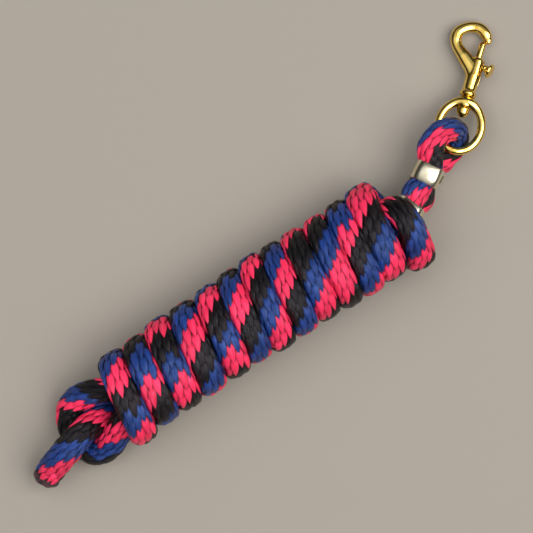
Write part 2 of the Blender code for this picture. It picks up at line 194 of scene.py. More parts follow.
# --------------------------------------------------
# Places and routes
# --------------------------------------------------
def plan_direction(heading, pitch=0.0):
    """The direction of a heading from +X toward +Y, pitched down, both in degrees."""
    h, p = math.radians(heading), math.radians(pitch)
    return Vector((math.cos(h) * math.cos(p), math.sin(h) * math.cos(p), -math.sin(p)))


def frame_at(origin, heading, pitch):
    """X that way, Y level and to its left, Z up from both."""
    along = plan_direction(heading, pitch)
    side = Vector((0, 0, 1)).cross(along).normalized()
    turn = Matrix((along, side, along.cross(side))).transposed().to_4x4()
    return Matrix.Translation(origin) @ turn


SNAP_FRAME = frame_at(SNAP_ORIGIN, SNAP_HEADING, SNAP_DROOP)


def strand(crimp, rise, along):
    """A place inside a band, along it from its middle and above or below."""
    return frame_at(*crimp) @ Vector((along, 0.0, rise))


def rope_contact():
    """Where the rope lies round the ring: the bar's middle, its direction, and the way in from it."""
    angle = math.radians(ROPE_CONTACT_DEG)
    x, y = RING_MIDDLE
    middle = Vector((x - RING_HALF_LENGTH * math.cos(angle), y + RING_HALF_WIDTH * math.sin(angle), 0))
    along = Vector((RING_HALF_LENGTH * math.sin(angle), RING_HALF_WIDTH * math.cos(angle), 0)).normalized()
    turn = SNAP_FRAME.to_3x3()
    along = turn @ along
    inward = -(turn @ Vector((0, 0, 1))).cross(along)
    return SNAP_FRAME @ middle, along, inward


def smooth_route(points, step):
    """Rows (x, y, z, extra...) about a step apart on a centripetal Catmull-Rom curve through the points."""
    points = np.asarray(points, float)
    ends = np.vstack([2 * points[0] - points[1], points, 2 * points[-1] - points[-2]])
    fine = []
    for a, b, c, d in zip(ends, ends[1:], ends[2:], ends[3:]):
        ta = 0.0
        tb = ta + np.linalg.norm((b - a)[:3]) ** 0.5
        tc = tb + np.linalg.norm((c - b)[:3]) ** 0.5
        td = tc + np.linalg.norm((d - c)[:3]) ** 0.5
        count = max(4, round(np.linalg.norm((c - b)[:3]) / step * 6))
        t = (tb + (tc - tb) * np.arange(count) / count)[:, None]
        ab = a + (b - a) * (t - ta) / (tb - ta)
        bc = b + (c - b) * (t - tb) / (tc - tb)
        cd = c + (d - c) * (t - tc) / (td - tc)
        abc = ab + (bc - ab) * (t - ta) / (tc - ta)
        bcd = bc + (cd - bc) * (t - tb) / (td - tb)
        fine.append(abc + (bcd - abc) * (t - tb) / (tc - tb))
    fine = np.vstack([*fine, points[-1:]])
    reach = np.concatenate([[0.0], np.cumsum(np.linalg.norm(np.diff(fine[:, :3], axis=0), axis=1))])
    count = max(3, round(reach[-1] / step))
    wanted = np.linspace(0.0, reach[-1], count + 1)
    return np.stack([np.interp(wanted, reach, fine[:, i]) for i in range(fine.shape[1])], axis=1)


def unit(v):
    return v / np.linalg.norm(v, axis=-1, keepdims=True)


# --------------------------------------------------
# The rope's route: rows of x, y, z and radius, from the end under the lower band to the sealed tail
# --------------------------------------------------
def eye_rows():
    centre, bar, inward = rope_contact()
    up = bar.cross(inward)
    if up.z < 0:
        up = -up
    half = CRIMP_LENGTH / 2
    # the strands bulge between the bands, the under one out to its side as well
    between = (Vector(LOWER_CRIMP[0]) + Vector(UPPER_CRIMP[0])) / 2
    rows = [
        (*strand(LOWER_CRIMP, -STRAND_RISE, -half - 0.002), 0.0070),
        (*strand(LOWER_CRIMP, -STRAND_RISE, half - 0.002), 0.0066),
        (*(between + Vector((0.0018, -0.0035, -0.0078))), 0.0076),
        (*strand(UPPER_CRIMP, -STRAND_RISE, -half + 0.002), 0.0066),
        (*strand(UPPER_CRIMP, -STRAND_RISE, half - 0.001), 0.0067),
        (0.1102, -0.0064, 0.0080, 0.0078),
    ]
    for i in range(7):
        angle = math.radians(-90 + 30 * i)
        outward = math.cos(angle) * inward + math.sin(angle) * up
        # the strand under the ring swings further out to its side
        spread = LOOP_SPREAD * (1.4 if i < 3 else 1.0) * math.sin(angle)
        rows.append((*(centre + LOOP_REACH * outward + spread * bar), 0.0069))
    rows += [
        (0.1079, 0.0022, 0.0252, 0.0078),
        (*strand(UPPER_CRIMP, STRAND_RISE, half - 0.001), 0.0067),
        (*strand(UPPER_CRIMP, STRAND_RISE, -half + 0.002), 0.0067),
        (*(between + Vector((-0.0004, 0.0006, 0.0082))), 0.0077),
        (*strand(LOWER_CRIMP, STRAND_RISE, half - 0.002), 0.0067),
        (*strand(LOWER_CRIMP, STRAND_RISE, -half), 0.0066),
    ]
    return rows


CORE_OUT = (
    (0.0640, -0.0256, 0.0262, 0.0060),
    (0.0500, -0.0225, 0.0282, 0.0054),
    (0.0300, -0.0178, 0.0262, 0.0056),
    (0.0100, -0.0170, 0.0240, 0.0059),
    (-0.0600, -0.0170, 0.0240, 0.0059),
    (-0.0980, -0.0170, 0.0240, 0.0059),
    (-0.1060, -0.0165, 0.0240, 0.0064),
)
BIGHT = (
    (-0.1130, -0.0153, 0.0236, 0.0074),
    (-0.1205, -0.0130, 0.0214, 0.0078),
    (-0.1287, -0.0115, 0.0162, 0.0080),
    (-0.1358, -0.0137, 0.0113, 0.0082),
    (-0.1404, -0.0200, 0.0088, 0.0082),
    (-0.1416, -0.0275, 0.0082, 0.0081),
    (-0.1408, -0.0347, 0.0082, 0.0080),
    (-0.1380, -0.0405, 0.0092, 0.0080),
    (-0.1320, -0.0425, 0.0122, 0.0080),
    (-0.1249, -0.0407, 0.0172, 0.0080),
    (-0.1178, -0.0369, 0.0222, 0.0078),
    (-0.1130, -0.0340, 0.0238, 0.0075),
)
CORE_BACK = (
    (-0.1065, -0.0308, 0.0242, 0.0066),
    (-0.0980, -0.0295, 0.0240, 0.0059),
    (-0.0600, -0.0288, 0.0240, 0.0059),
    (0.0100, -0.0288, 0.0240, 0.0059),
    (0.0300, -0.0270, 0.0212, 0.0056),
    (0.0450, -0.0210, 0.0192, 0.0054),
    (0.0570, -0.0158, 0.0212, 0.0060),
)
FIRST_TURN = (
    (0.0640, -0.0140, 0.0262, 0.0064),
    (0.0690, -0.0140, 0.0330, 0.0069),
    (0.0733, -0.0166, 0.0396, 0.0076),
    (0.0748, -0.0217, 0.0421, 0.0077),
    (0.0748, -0.0275, 0.0418, 0.0077),
    (0.0740, -0.0345, 0.0388, 0.0078),
    (0.0731, -0.0410, 0.0318, 0.0078),
)
TAIL = (
    (-0.1126, -0.0296, 0.0084, 0.0077),
    (-0.1165, -0.0262, 0.0096, 0.0076),
    (-0.1221, -0.0261, 0.0130, 0.0076),
    (-0.1310, -0.0271, 0.0196, 0.0077),
    (-0.1396, -0.0290, 0.0242, 0.0079),
    (-0.1485, -0.0318, 0.0236, 0.0081),
    (-0.1568, -0.0343, 0.0186, 0.0081),
    (-0.1640, -0.0370, 0.0132, 0.0079),
    (-0.1678, -0.0385, 0.0104, 0.0073),
)


def wrap_rows():
    """The turns, every 30 degrees round the hank, from the first low edge to the last underside."""
    knots = [90.0]
    edges, reaches = [LOW_EDGES[0]], [LOW_REACH[0]]
    for k in range(len(TOP_EDGES)):
        knots += [270.0 + 360 * k, 450.0 + 360 * k]
        edges += [TOP_EDGES[k], LOW_EDGES[k + 1]]
        reaches += [TOP_REACH[k], LOW_REACH[k + 1]]
    last = knots[-1]
    knots.append(last + 90)
    edges.append(edges[-1] - 0.0040)
    reaches.append(reaches[-1])
    rows = []
    for degrees in np.arange(90.0, last + 61, 30.0):
        theta = math.radians(degrees)
        x = float(np.interp(degrees, knots, edges))
        turn = (degrees - 90) / 360
        # no turn stands quite as high as the next
        wander = 0.0003 * math.sin(turn * 9.1) + 0.0002 * math.sin(turn * 23.7 + 1.0)
        # a rounder corner than an ellipse's
        c, s = math.cos(theta), math.sin(theta)
        square = (abs(c) ** 2.4 + abs(s) ** 2.4) ** (-1 / 2.4)
        y = HANK_Y - float(np.interp(degrees, knots, reaches)) * s * square
        z = HANK_Z + (WRAP_HALF_HEIGHT + wander) * c * square
        # a little over half of the way to the turns on both sides, which it presses against
        before, after = max(degrees - 360, knots[0]), min(degrees + 360, last)
        pitch = abs(np.interp(after, knots, edges) - np.interp(before, knots, edges)) * 360 / (after - before)
        half_pitch = float(np.clip(0.525 * pitch, 0.0070, 0.0088))
        rows.append((x, y, max(z, LOWEST_TURN), TURN_RADIUS, half_pitch))
    return rows


def route_frames(route):
    """Unit vectors along the route and across it, without twist."""
    tangent = unit(np.gradient(route[:, :3], axis=0))
    normal = np.zeros_like(tangent)
    first = np.cross(tangent[0], (0.0, 0.0, 1.0))
    normal[0] = unit(np.cross(first, tangent[0]))
    for i in range(1, len(route)):
        n = normal[i - 1] - tangent[i] * normal[i - 1].dot(tangent[i])
        normal[i] = n / np.linalg.norm(n)
    return tangent, normal


class Rope:
    """The centreline with its frame, radius and colour phase at any length along it."""

    def __init__(self):
        wraps = wrap_rows()
        rows = [*eye_rows(), *CORE_OUT, *BIGHT, *CORE_BACK, *FIRST_TURN, *wraps, *TAIL]
        # the fifth value is the half-width between neighbours; elsewhere the rope is round
        self.route = smooth_route([row if len(row) == 5 else (*row, row[3]) for row in rows], ROUTE_STEP)
        seg = np.linalg.norm(np.diff(self.route[:, :3], axis=0), axis=1)
        self.at = np.concatenate([[0.0], np.cumsum(seg)])
        self.length = float(self.at[-1])
        self.tangent, self.normal = route_frames(self.route)
        self.eye_end = self.passing(CORE_OUT[0], 0)
        self.core_out_end = self.passing(BIGHT[0], -1)
        self.core_back_start = self.passing(BIGHT[-1], -1)
        self.core_back_end = self.passing(FIRST_TURN[0], -1)
        self.wrap_start = self.passing(wraps[0], -1)
        self.wrap_end = self.passing(wraps[-1], -1)
        # lengths between which the turns press on each other, and full on between the middle two
        self.press_at = (self.wrap_start - 0.02, self.wrap_start + 0.01, self.wrap_end - 0.03, self.wrap_end)
        self.turn_outward()
        self.set_phase()

    def passing(self, row, which):
        """The length along at a row's place, the first time that the route passes it (0) or the last (-1)."""
        gap = np.linalg.norm(self.route[:, :3] - np.asarray(row[:3]), axis=1)
        found = np.where(gap < 0.0006)[0]
        return float(self.at[found[which] if len(found) else gap.argmin()])

    def turn_outward(self):
        """Turns the frame so that in the turns its normal points out of the hank."""
        out = self.route[:, :3] - np.array((0.0, HANK_Y, HANK_Z))
        out[:, 0] = 0.0
        out = unit(out - self.tangent * np.sum(out * self.tangent, axis=1, keepdims=True))
        across = np.cross(self.normal, self.tangent)
        angle = np.unwrap(np.arctan2(np.sum(out * across, axis=1), np.sum(out * self.normal, axis=1)))
        inside = (self.at >= self.wrap_start) & (self.at <= self.wrap_end)
        turn = np.interp(self.at, self.at[inside], angle[inside])
        self.out = self.normal * np.cos(turn)[:, None] + across * np.sin(turn)[:, None]
        self.side = np.cross(self.out, self.tangent)

    def set_phase(self):
        """Colour phase on the outward side: 0 to 1/3 is red, then black, then blue."""
        z = self.route[:, 2]
        y = self.route[:, 1]
        tops = []
        # the first turn's top comes before wrap_start, its low edge
        inside = np.where((self.at > self.wrap_start - 0.05) & (self.at < self.wrap_end))[0]
        for i in inside[:-1]:
            if z[i] > HANK_Z and y[i] >= HANK_Y > y[i + 1]:
                tops.append(float(self.at[i]))
        seen = [(at, 1 / 6 + share) for at, share in zip(tops, RED_BANDS)]
        for x, y, z, phase in SEEN_BANDS:
            seen.append((self.near(x, y, z, 0.0, self.wrap_start), phase))
        for x, y, z, phase in TAIL_BANDS:
            seen.append((self.near(x, y, z, self.wrap_end, self.length), phase))
        self.phase_at, self.phases = [], []
        for at, phase in sorted(seen):
            # from above to the outward side
            out, side = self.column_of(self.out, at), self.column_of(self.side, at)
            phase -= math.atan2(side[2], out[2]) / (2 * math.pi)
            if self.phases:
                phase += round(self.phases[-1] + (at - self.phase_at[-1]) / BAND_PERIOD - phase)
            self.phase_at.append(at)
            self.phases.append(phase)
        self.phase_at = [self.phase_at[0] - 1.0, *self.phase_at]
        self.phases = [self.phases[0] - 1.0 / BAND_PERIOD, *self.phases]

    def near(self, x, y, z, low, high):
        """The length along, between low and high, that passes nearest a place."""
        gap = np.linalg.norm(self.route[:, :3] - (x, y, z), axis=1)
        gap[(self.at < low) | (self.at > high)] = 1.0
        return float(self.at[gap.argmin()])

    def column_of(self, values, at):
        return np.stack([np.interp(at, self.at, values[:, i]) for i in range(values.shape[1])], axis=-1)

    def surface(self, at, angle, lift):
        """Points at a length along, an angle round from the outward side and a lift from the radius."""
        middle = self.column_of(self.route[:, :3], at)
        radius = np.interp(at, self.at, self.route[:, 3])
        out = self.column_of(self.out, at)
        side = self.column_of(self.side, at)
        # pressed against its neighbours in the turns, the rope is squarer there than round
        press = np.interp(at, self.press_at, (0.0, 1.0, 1.0, 0.0))
        power = 2.0 + 0.9 * press
        c, s = np.abs(np.cos(angle)), np.abs(np.sin(angle))
        square = (c ** power + s ** power) ** (-1 / power)
        reach = (radius * square + lift)[..., None]
        narrow = (np.interp(at, self.at, self.route[:, 4]) / radius)[..., None]
        return middle + reach * (out * np.cos(angle)[..., None] + narrow * side * np.sin(angle)[..., None])

    def phase(self, at, angle):
        # the bands lean a little less on the outward side than at the sides
        return np.interp(at, self.phase_at, self.phases) + (angle - 0.15 * np.sin(2 * angle)) / (2 * math.pi)


def hidden(rope, at):
    """Where the rope runs inside the hank."""
    margin = 0.004
    first = (at > rope.eye_end + margin) & (at < rope.core_out_end - margin)
    second = (at > rope.core_back_start + margin) & (at < rope.core_back_end - margin)
    return first | second


class RopeParts:
    """The points of the rope's mesh with their stitch marks, and its faces with their slots."""

    def __init__(self):
        self.points, self.marks, self.faces, self.slots = [], [], [], []
        self.count = 0

    def add(self, points, marks, faces, slots):
        """Faces count from the first of these points; returns that point's place among all."""
        first = self.count
        self.points.append(points.reshape(-1, 3))
        self.marks.append(marks.reshape(-1, 3))
        self.faces.append(faces.reshape(-1, 4) + first)
        self.slots.append(slots)
        self.count += len(self.points[-1])
        return first

    def add_tube(self, rings, slot):
        """Rings of points, one after the other along the rope."""
        n, m = rings.shape[:2]
        here = np.arange(n * m).reshape(n, m)
        beside = np.roll(here, -1, axis=1)
        faces = np.stack([here[:-1], beside[:-1], beside[1:], here[1:]], axis=-1).reshape(-1, 4)
        return self.add(rings, np.zeros(rings.shape), faces, np.full(len(faces), slot))

    def mesh(self, cap, cap_slot):
        faces = np.vstack(self.faces).tolist() + [cap]
        slots = np.append(np.concatenate(self.slots), cap_slot)
        mesh = bpy.data.meshes.new("braided_rope")
        mesh.from_pydata(np.vstack(self.points).tolist(), [], faces)
        mesh.polygons.foreach_set("material_index", slots.astype(np.int32))
        stitch = mesh.attributes.new("stitch", "FLOAT_VECTOR", "POINT")
        stitch.data.foreach_set("vector", np.vstack(self.marks).astype(np.float32).ravel())
        return smooth_mesh(mesh)


def add_inner_tube(parts, rope):
    """Under the stitches; returns the points of its first ring."""
    along = [0.0]
    while along[-1] < rope.length:
        step = HIDDEN_TUBE_STEP if hidden(rope, along[-1]) else TUBE_STEP
        along.append(along[-1] + step)
    along = np.array(along[:-1] + [rope.length])
    angle = np.linspace(0, 2 * math.pi, TUBE_SIDES, endpoint=False)
    at, angle = np.meshgrid(along, angle, indexing="ij")
    first = parts.add_tube(rope.surface(at, angle, np.full(at.shape, -TUBE_DEPTH)), INNER_SLOT)
    return list(range(first, first + TUBE_SIDES))


def add_melted_tip(parts, rope):
    """Rings that close, a little unevenly, over the tail's end."""
    end = np.array(rope.length)
    middle = rope.column_of(rope.route[:, :3], end)
    tangent = unit(rope.column_of(rope.tangent, end))
    out = unit(rope.column_of(rope.out, end))
    side = np.cross(out, tangent)
    radius = float(rope.route[-1, 3])
    angle = np.linspace(0, 2 * math.pi, MELTED_SIDES, endpoint=False)
    away = out * np.cos(angle)[:, None] + side * np.sin(angle)[:, None]
    rings = []
    for share, past in MELTED_RINGS:
        uneven = 1 + 0.05 * np.sin(3 * angle + 1.0) + 0.04 * np.sin(7 * angle + 2.0 * share)
        dent = 0.0004 * np.sin(5 * angle + 4 * share) * (1.2 - share)
        rings.append(middle + tangent * (past + dent)[:, None] + (radius * share * uneven)[:, None] * away)
    parts.add_tube(np.array(rings), MELTED_SLOT)


def add_stitches(parts, rope):
    """Raised stitches in columns that twist round the rope, each the shape of a long leaf."""
    # places on a stitch: along, from its dipping start to its end, and across; both from -1 to 1
    s = np.array((-1.0, -0.82, -0.55, -0.25, 0.05, 0.35, 0.62, 0.84, 1.0))
    t = np.array((-1.0, -0.62, 0.0, 0.62, 1.0))
    width = (1 + s) ** 0.40 * (1 - s) ** 0.95
    width = width / width.max()
    width[0], width[-1] = 0.18, 0.02
    crest = np.interp(s, (-1.0, -0.6, -0.1, 0.5, 1.0), (-0.0014, -0.0006, 0.0, 0.0, -0.0004))
    flat = 1 - np.sqrt(1 - (0.96 * t) ** 2)
    relief = crest[:, None] - STITCH_BULGE * flat[None, :] * (0.4 + 0.6 * width[:, None])
    index = np.arange(len(s) * len(t)).reshape(len(s), len(t))
    quads = np.stack([index[:-1, :-1], index[:-1, 1:], index[1:, 1:], index[1:, :-1]], axis=-1).reshape(-1, 4)
    end = rope.length - MELTED_LENGTH
    for column in range(COLUMNS):
        at = np.arange(0.002 + ROW * (column % 2) / 2, end, ROW)
        at = at[~hidden(rope, at)]
        n = len(at)
        # each a little out of place, higher or lower, askew, and lighter or darker
        jitter = random.normal(0.0, 0.00016, n)
        swell = random.normal(0.0, 0.00009, n)
        lean = random.normal(0.0, 0.05, n)
        shade = random.uniform(0.0, 1.0, n)
        column_angle = 2 * math.pi * column / COLUMNS
        radius = np.interp(at, rope.at, rope.route[:, 3])
        half = STITCH_HALF_WIDTH * radius / FULL_RADIUS
        # arrays of stitch, place along it and place across it
        u = (at + jitter)[:, None, None] + s[None, :, None] * STITCH_HALF_LENGTH + 0 * t
        u = np.clip(u, 0.0, end)
        angle = (
            column_angle
            - COLUMN_TWIST * (u - rope.wrap_start)
            + t * width[:, None] * (half / radius)[:, None, None]
            + 0.4 * lean[:, None, None] * s[:, None]
        )
        placed = rope.surface(u, angle, relief + swell[:, None, None])
        marks = np.zeros(placed.shape)
        marks[..., 0] = s[:, None]
        marks[..., 1] = t
        marks[..., 2] = shade[:, None, None]
        faces = quads[None] + index.size * np.arange(n)[:, None, None]
        phase = rope.phase(at, column_angle - COLUMN_TWIST * (at - rope.wrap_start)) % 1.0
        colour = np.where(phase < 1 / 3, RED_SLOT, np.where(phase < 2 / 3, BLACK_SLOT, BLUE_SLOT))
        parts.add(placed, marks, faces, np.repeat(colour, len(quads)))


def rope_mesh(rope):
    """An inner tube, painted near black as shade, under rows of raised stitches, with a melted tip on the
    tail.
    """
    parts = RopeParts()
    cap = add_inner_tube(parts, rope)
    add_melted_tip(parts, rope)
    add_stitches(parts, rope)
    return parts.mesh(cap, INNER_SLOT)


# --------------------------------------------------
# Materials
# --------------------------------------------------
def new_material(name):
    made = bpy.data.materials.new(name)
    made.use_nodes = True
    tree = made.node_tree
    shader = tree.nodes["Principled BSDF"]
    return made, tree, shader


def node(tree, kind, *first_inputs, **inputs):
    """A node; each of its inputs, by order or by name, is a value or another node's output."""
    made = tree.nodes.new(kind)
    for key, value in [*enumerate(first_inputs), *inputs.items()]:
        socket = made.inputs[key.replace("_", " ") if isinstance(key, str) else key]
        if isinstance(value, bpy.types.NodeSocket):
            tree.links.new(value, socket)
        else:
            socket.default_value = value
    return made


def maths(tree, operation, *values):
    made = node(tree, "ShaderNodeMath", *values)
    made.operation = operation
    return made.outputs[0]


def ramp(tree, value, from_range=(0.0, 1.0), to_range=(0.0, 1.0), smooth=False):
    """The value, brought from one range to the other."""
    made = node(
        tree,
        "ShaderNodeMapRange",
        Value=value,
        From_Min=from_range[0],
        From_Max=from_range[1],
        To_Min=to_range[0],
        To_Max=to_range[1],
    )
    if smooth:
        made.interpolation_type = "SMOOTHSTEP"
    return made.outputs["Result"]


def colour_mix(tree, share, low, high):
    made = tree.nodes.new("ShaderNodeMix")
    made.data_type = "RGBA"
    made.inputs["A"].default_value = (*low, 1.0)
    made.inputs["B"].default_value = (*high, 1.0)
    tree.links.new(share, made.inputs["Factor"])
    return made.outputs["Result"]


def noise(tree, scale, detail, roughness, distortion=0.0, place=None):
    """Noise over the given places, or else fixed to the piece."""
    made = node(
        tree,
        "ShaderNodeTexNoise",
        Vector=place or tree.nodes.new("ShaderNodeTexCoord").outputs["Object"],
        Scale=scale,
        Detail=detail,
        Roughness=roughness,
        Distortion=distortion,
    )
    return made.outputs["Fac"]


def fibre_material(name, dark, light, gloss, gloss_tint):
    """Filament yarn: fine lines along each stitch, a little different from stitch to stitch, with painted
    shade on its sides and its dipping start.
    """
    made, tree, shader = new_material(name)
    stitch = tree.nodes.new("ShaderNodeAttribute")
    stitch.attribute_name = "stitch"
    # along the stitch, across it, and a number of its own
    along, across, own = node(tree, "ShaderNodeSeparateXYZ", stitch.outputs["Vector"]).outputs
    # the lines run along the stitch, so the pattern is fine across it and slow along it
    lines = node(
        tree,
        "ShaderNodeCombineXYZ",
        maths(tree, "MULTIPLY", along, 1.1),
        maths(tree, "MULTIPLY", across, 13.0),
        maths(tree, "MULTIPLY", own, 57.0),
    )
    strands = noise(tree, 1.0, 3.0, 0.6, distortion=0.4, place=lines.outputs[0])
    colour = colour_mix(tree, ramp(tree, strands, (0.32, 0.70)), dark, light)
    # painted shade: the sides of a stitch, and its start that dips under its neighbours, are darkened as if
    # in the shade they lie in
    flank = maths(tree, "ABSOLUTE", across)
    painted_crease_shade = ramp(tree, flank, (0.60, 1.05), (1.0, 0.42), smooth=True)
    tip = ramp(tree, along, (-0.95, -0.30), (0.05, 1.0), smooth=True)
    each = ramp(tree, own, to_range=(0.74, 1.14))
    # the painted shade, times each stitch's own random tone
    painted_shade_and_tone = maths(tree, "MULTIPLY", maths(tree, "MULTIPLY", painted_crease_shade, tip), each)
    shaded = node(tree, "ShaderNodeHueSaturation", Color=colour, Value=painted_shade_and_tone)
    bump = node(tree, "ShaderNodeBump", Height=strands, Strength=0.9, Distance=0.0004)
    tree.links.new(shaded.outputs["Color"], shader.inputs["Base Color"])
    tree.links.new(bump.outputs["Normal"], shader.inputs["Normal"])
    shader.inputs["Roughness"].default_value = 0.36
    shader.inputs["Specular IOR Level"].default_value = gloss
    shader.inputs["Specular Tint"].default_value = (*gloss_tint, 1.0)
    shader.inputs["Sheen Weight"].default_value = 0.03
    shader.inputs["Sheen Roughness"].default_value = 0.4
    shader.inputs["Sheen Tint"].default_value = (*light, 1.0)
    return made


def painted_shade_inner_material():
    """The yarn under the stitches, painted near black as the shade in the gaps between them."""
    made, _, shader = new_material("rope_inner_painted_shade")
    # near black: painted shade
    shader.inputs["Base Color"].default_value = (0.010, 0.009, 0.012, 1.0)
    shader.inputs["Roughness"].default_value = 0.9
    return made


def melted_material():
    """Black and dark red yarn run together, shiny and lumpy."""
    made, tree, shader = new_material("melted_tip")
    spots = noise(tree, 420.0, 4.0, 0.6)
    tones = node(tree, "ShaderNodeValToRGB", Fac=spots)
    black_end, red_end = tones.color_ramp.elements
    black_end.position = 0.38
    black_end.color = (0.012, 0.012, 0.014, 1)
    red_end.position = 0.66
    red_end.color = (0.075, 0.030, 0.036, 1)
    bump = node(tree, "ShaderNodeBump", Height=spots, Strength=0.5, Distance=0.0005)
    tree.links.new(tones.outputs["Color"], shader.inputs["Base Color"])
    tree.links.new(bump.outputs["Normal"], shader.inputs["Normal"])
    shader.inputs["Roughness"].default_value = 0.35
    return made


def metal_material(name, colour, deep, roughness, grain):
    """Polished cast metal: faint smudges, fine pits and a slightly deeper tone in patches."""
    made, tree, shader = new_material(name)
    patches = noise(tree, 260.0, 5.0, 0.55)
    tone = colour_mix(tree, ramp(tree, patches, (0.30, 0.60)), deep, colour)
    smudges = ramp(tree, patches, to_range=(roughness * 1.5, roughness * 0.7))
    bump = node(tree, "ShaderNodeBump", Height=noise(tree, grain, 3.0, 0.5), Strength=0.12, Distance=0.0001)
    tree.links.new(tone, shader.inputs["Base Color"])
    tree.links.new(smudges, shader.inputs["Roughness"])
    tree.links.new(bump.outputs["Normal"], shader.inputs["Normal"])
    shader.inputs["Metallic"].default_value = 1.0
    return made


# --------------------------------------------------
# Shapes for the metal pieces
# --------------------------------------------------
def add_object(name, data, place=None):
    made = bpy.data.objects.new(name, data)
    bpy.context.scene.collection.objects.link(made)
    if place is not None:
        made.matrix_world = place
    return made


def smooth_mesh(mesh):
    mesh.polygons.foreach_set("use_smooth", np.ones(len(mesh.polygons), bool))
    mesh.update()
    return mesh


def new_mesh(name, points, faces):
    mesh = bpy.data.meshes.new(name)
    mesh.from_pydata(points, [], faces)
    shape = bmesh.new()
    shape.from_mesh(mesh)
    bmesh.ops.recalc_face_normals(shape, faces=shape.faces)
    shape.to_mesh(mesh)
    shape.free()
    return mesh


def swept(name, route, section, closed=False, up=(0, 0, 1)):
    """A section function of the row, giving (across, up) points, swept along rows of points."""
    route = np.asarray(route, float)
    places = route[:, :3]
    tangent = unit(np.roll(places, -1, 0) - np.roll(places, 1, 0) if closed else np.gradient(places, axis=0))
    across = unit(np.cross(np.broadcast_to(np.asarray(up, float), tangent.shape), tangent))
    lifted = np.cross(tangent, across)
    rings = []
    for i, row in enumerate(route):
        flat = np.asarray(section(i, row))
        rings.append(row[:3] + flat[:, :1] * across[i] + flat[:, 1:] * lifted[i])
    rings = np.array(rings)
    n, m = rings.shape[:2]
    index = np.arange(n * m).reshape(n, m)
    below = index if closed else index[:-1]
    above = np.roll(index, -1, axis=0) if closed else index[1:]
    quads = np.stack([below, np.roll(below, -1, 1), np.roll(above, -1, 1), above], axis=-1)
    faces = quads.reshape(-1, 4).tolist()
    if not closed:
        faces += [index[0][::-1].tolist(), index[-1].tolist()]
    return new_mesh(name, rings.reshape(-1, 3).tolist(), faces)


def turned(name, profile, steps=64):
    """(x, radius) rows turned about local X, the first and last of them on the axis."""
    angles = np.linspace(0, 2 * math.pi, steps, endpoint=False)
    points, rings = [], []
    for x, r in profile:
        if r < 1e-7:
            rings.append([len(points)])
            points.append((x, 0.0, 0.0))
        else:
            rings.append(list(range(len(points), len(points) + steps)))
            points += [(x, r * math.cos(a), r * math.sin(a)) for a in angles]
    faces = []
    for a, b in zip(rings, rings[1:]):
        for i in range(steps):
            j = (i + 1) % steps
            if len(a) == 1:
                faces.append((a[0], b[i], b[j]))
            elif len(b) == 1:
                faces.append((a[i], a[j], b[0]))
            else:
                faces.append((a[i], a[j], b[j], b[i]))
    return new_mesh(name, points, faces)


def rounded_profile(rows, radius, steps=4):
    """The (x, radius) rows with each inner corner replaced by a short arc-like curve."""
    rows = [np.array(r, float) for r in rows]
    out = [rows[0]]
    for a, b, c in zip(rows, rows[1:], rows[2:]):
        before, after = np.linalg.norm(a - b), np.linalg.norm(c - b)
        cut = min(radius, before * 0.45, after * 0.45)
        p, q = b + (a - b) / before * cut, b + (c - b) / after * cut
        for i in range(steps + 1):
            w = i / steps
            out.append((1 - w) ** 2 * p + 2 * w * (1 - w) * b + w * w * q)
    out.append(rows[-1])
    return [tuple(r) for r in out]


def evaluated(obj):
    """The object with its modifiers applied."""
    bpy.context.view_layer.update()
    mesh = bpy.data.meshes.new_from_object(obj.evaluated_get(bpy.context.evaluated_depsgraph_get()))
    obj.modifiers.clear()
    obj.data = mesh
    return obj


def boolean(obj, other, operation):
    step = obj.modifiers.new(operation, "BOOLEAN")
    step.operation = operation
    step.solver = "EXACT"
    step.object = other
    evaluated(obj)
    bpy.data.objects.remove(other, do_unlink=True)
    return obj


def cast(obj, rounds):
    """Fused into one skin with soft inner corners, as a casting has."""
    remesh = obj.modifiers.new("skin", "REMESH")
    remesh.mode = "VOXEL"
    remesh.voxel_size = CAST_VOXEL
    evaluated(obj)
    soft = obj.modifiers.new("soft", "SMOOTH")
    soft.factor = 0.5
    soft.iterations = rounds
    evaluated(obj)
    smooth_mesh(obj.data)
    return obj


def finish_piece(obj, material, body, slot_name, *nodes):
    """Places it for good, gives it its material, hangs it on the body it rides on and hides the CAD nodes it
    stands for.
    """
    bpy.context.view_layer.update()
    obj.data.transform(obj.matrix_world)
    obj.matrix_world = Matrix.Identity(4)
    obj.data.materials.clear()
    obj.data.materials.append(material)
    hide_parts(*nodes)
    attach(obj, body)
    return obj


def bar_section(width, height, count=20, power=2.6):
    """A superellipse: flatter on its faces than a circle."""
    a = np.linspace(0, 2 * math.pi, count, endpoint=False)
    c, s = np.cos(a), np.sin(a)
    across = width * np.sign(c) * np.abs(c) ** (2 / power)
    up = height * np.sign(s) * np.abs(s) ** (2 / power)
    return np.stack([across, up], 1)


def cylinder(name, radius, low, high):
    return add_object(name, turned(name, [(high, 0.0), (high, radius), (low, radius), (low, 0.0)]))


